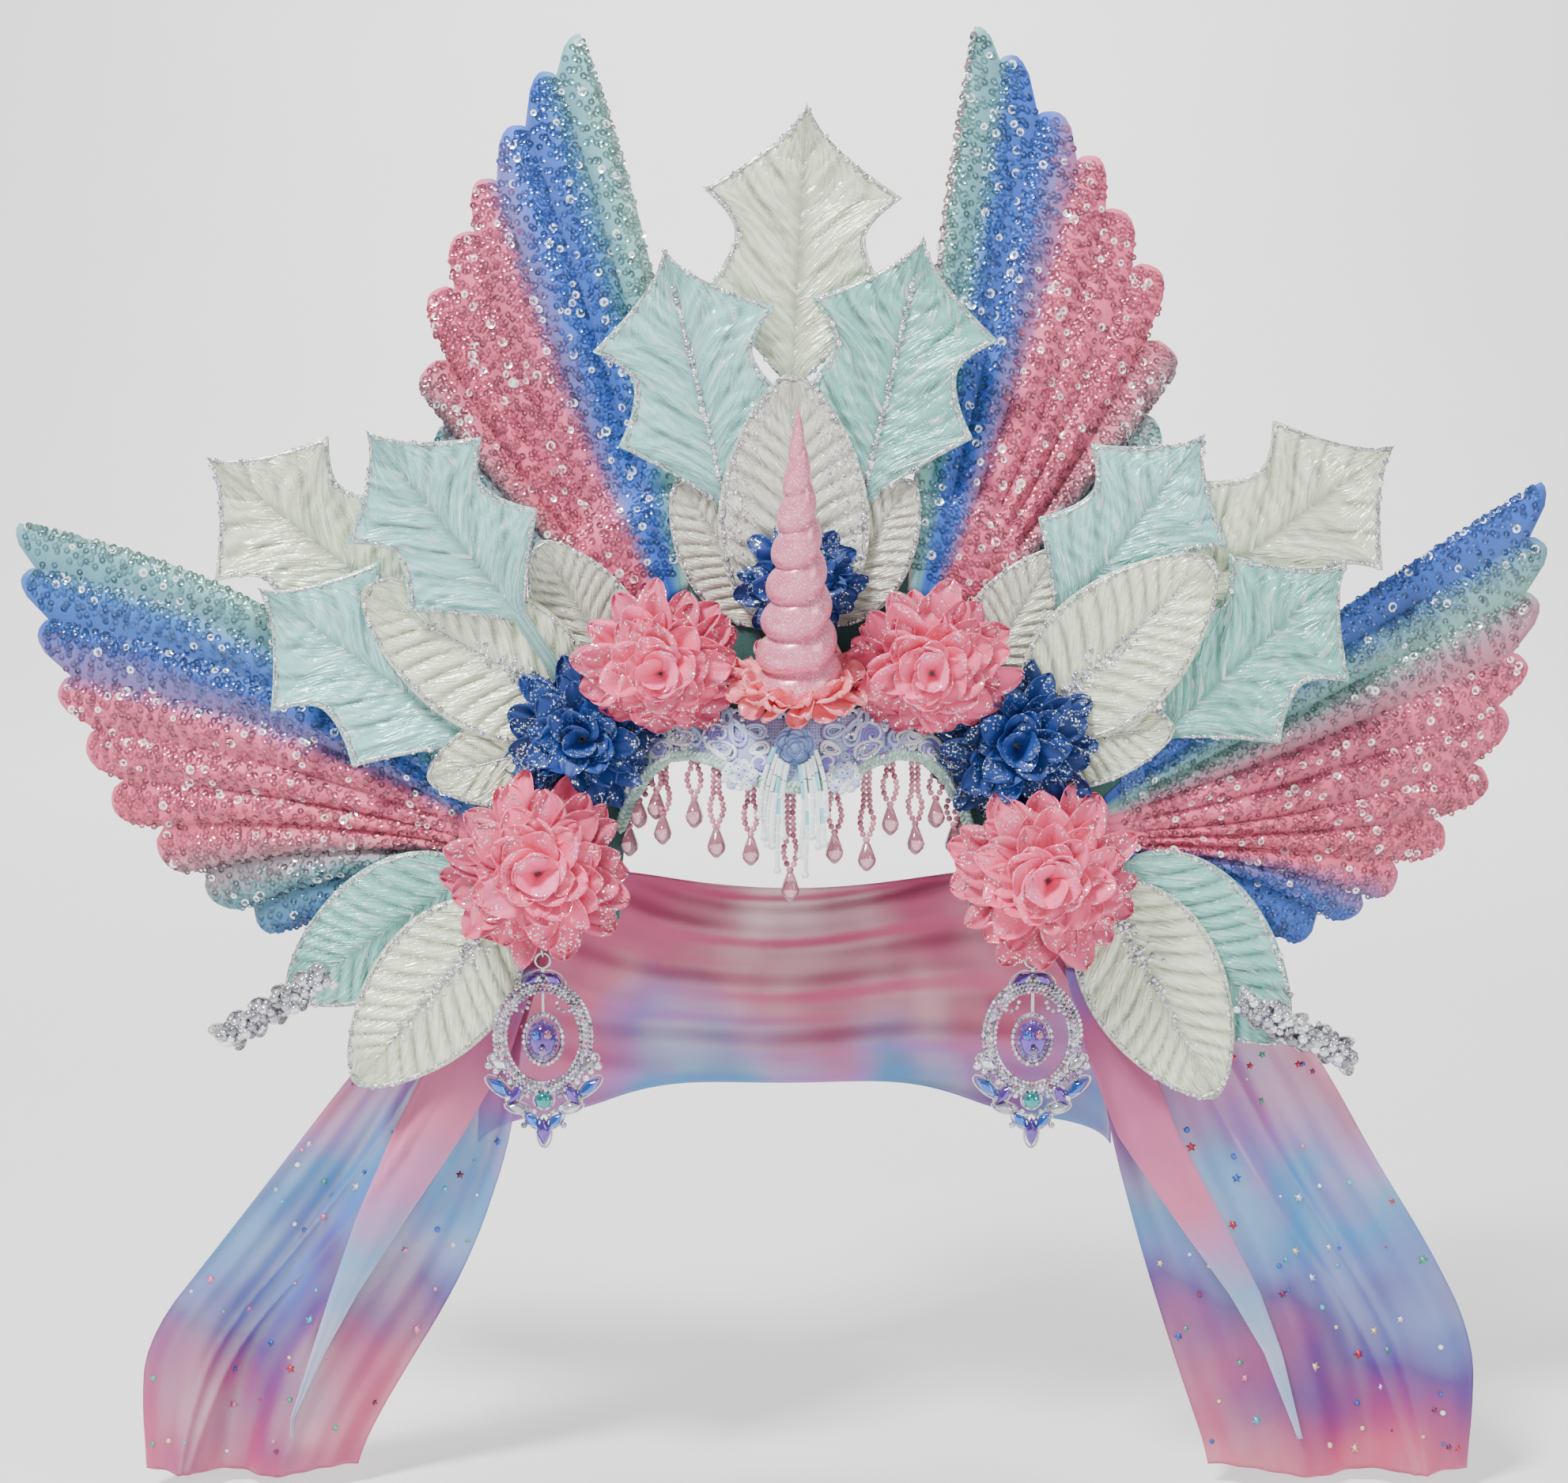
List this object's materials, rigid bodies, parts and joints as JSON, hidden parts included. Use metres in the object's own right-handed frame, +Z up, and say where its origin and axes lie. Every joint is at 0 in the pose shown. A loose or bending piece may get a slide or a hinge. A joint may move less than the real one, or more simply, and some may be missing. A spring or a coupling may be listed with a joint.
{
  "type": "kokoshnik crown",
  "caption": "Festive crown with padded sequin wings, satin leaves, fabric flowers, a spiral horn, a lace and bead brow fringe, swinging jewelled pendants and a long tulle scarf.",
  "frame": {"origin": "underside of the head band at the crown of the head", "axes": "+Z up, -Y the way the wearer faces, +X to the right of a viewer who faces the wearer"},
  "size_m": [0.6676, 0.219, 0.637],
  "materials": {
    "felt": "matt wool felt, dark teal",
    "sequin": "pearly sequins in pink, blue, mint and teal on a padded base",
    "cream_satin": "pearl satin with glitter and rhinestone edges",
    "mint_satin": "pearl satin with glitter and rhinestone edges",
    "aqua_satin": "pearl satin with glitter and rhinestone edges",
    "silver_satin": "pearl satin with glitter and rhinestone edges",
    "pink_chiffon": "sheer pink petals with glitter",
    "blue_chiffon": "sheer blue petals with green and violet glitter",
    "horn_skin": "pearl pink with fine glitter",
    "lace": "blue and lavender lace with mint braid",
    "rose_resin": "dusty blue",
    "crystal_bead": "faceted mauve-pink glass",
    "white_bead": "opaque white glass",
    "rhinestone": "silver settings with clear, violet and blue cut stones",
    "wire": "plain wire",
    "tulle": "sheer tulle, mauve to blue and rose, with confetti"
  },
  "bodies": {
    "crown": {"bead_fringe": "crystal_bead", "brow_lace": "lace", "brow_panel": "felt", "brow_rose": "rose_resin", "bugle_tassel": "white_bead", "crystal_spray_left": "rhinestone", "crystal_spray_right": "rhinestone", "felt_crest": "felt", "flower_blue_centre": "blue_chiffon", "flower_blue_left": "blue_chiffon", "flower_blue_right": "blue_chiffon", "flower_pink_lower_left": "pink_chiffon", "flower_pink_lower_right": "pink_chiffon", "flower_pink_upper_left": "pink_chiffon", "flower_pink_upper_right": "pink_chiffon", "head_band": "felt", "holly_aqua_left": "aqua_satin", "holly_aqua_right": "aqua_satin", "holly_cream_left": "cream_satin", "holly_cream_right": "cream_satin", "holly_mint_left": "mint_satin", "holly_mint_low_left": "mint_satin", "holly_mint_low_right": "mint_satin", "holly_mint_right": "mint_satin", "holly_top": "cream_satin", "horn_ruffle": "pink_chiffon", "leaf_aqua_foot_left": "aqua_satin", "leaf_aqua_foot_right": "aqua_satin", "leaf_cream_foot_right": "cream_satin", "leaf_silver_foot_left": "silver_satin", "oval_centre": "silver_satin", "oval_cream_left": "cream_satin", "oval_cream_right": "cream_satin", "oval_horn_left": "silver_satin", "oval_horn_right": "silver_satin", "oval_low_left": "cream_satin", "oval_low_right": "cream_satin", "oval_silver_left": "silver_satin", "oval_silver_right": "silver_satin", "pendant_hook_left": "wire", "pendant_hook_right": "wire", "scarf_swag": "tulle", "scarf_tail_left": "tulle", "scarf_tail_right": "tulle", "spiral_horn": "horn_skin", "wing_side_left": "sequin", "wing_side_right": "sequin", "wing_upper_left": "sequin", "wing_upper_right": "sequin"},
    "pendant_left": {"pendant_left": "rhinestone"},
    "pendant_right": {"pendant_right": "rhinestone"}
  },
  "joints": [
    {"name": "pendant_left_swing", "type": "hinge", "parent": "crown", "child": "pendant_left", "pos_m": [-0.108, -0.034, -0.131], "axis": [0, 1, 0], "range_deg": [-25, 25]},
    {"name": "pendant_right_swing", "type": "hinge", "parent": "crown", "child": "pendant_right", "pos_m": [0.102, -0.034, -0.131], "axis": [0, 1, 0], "range_deg": [-25, 25]}
  ]
}
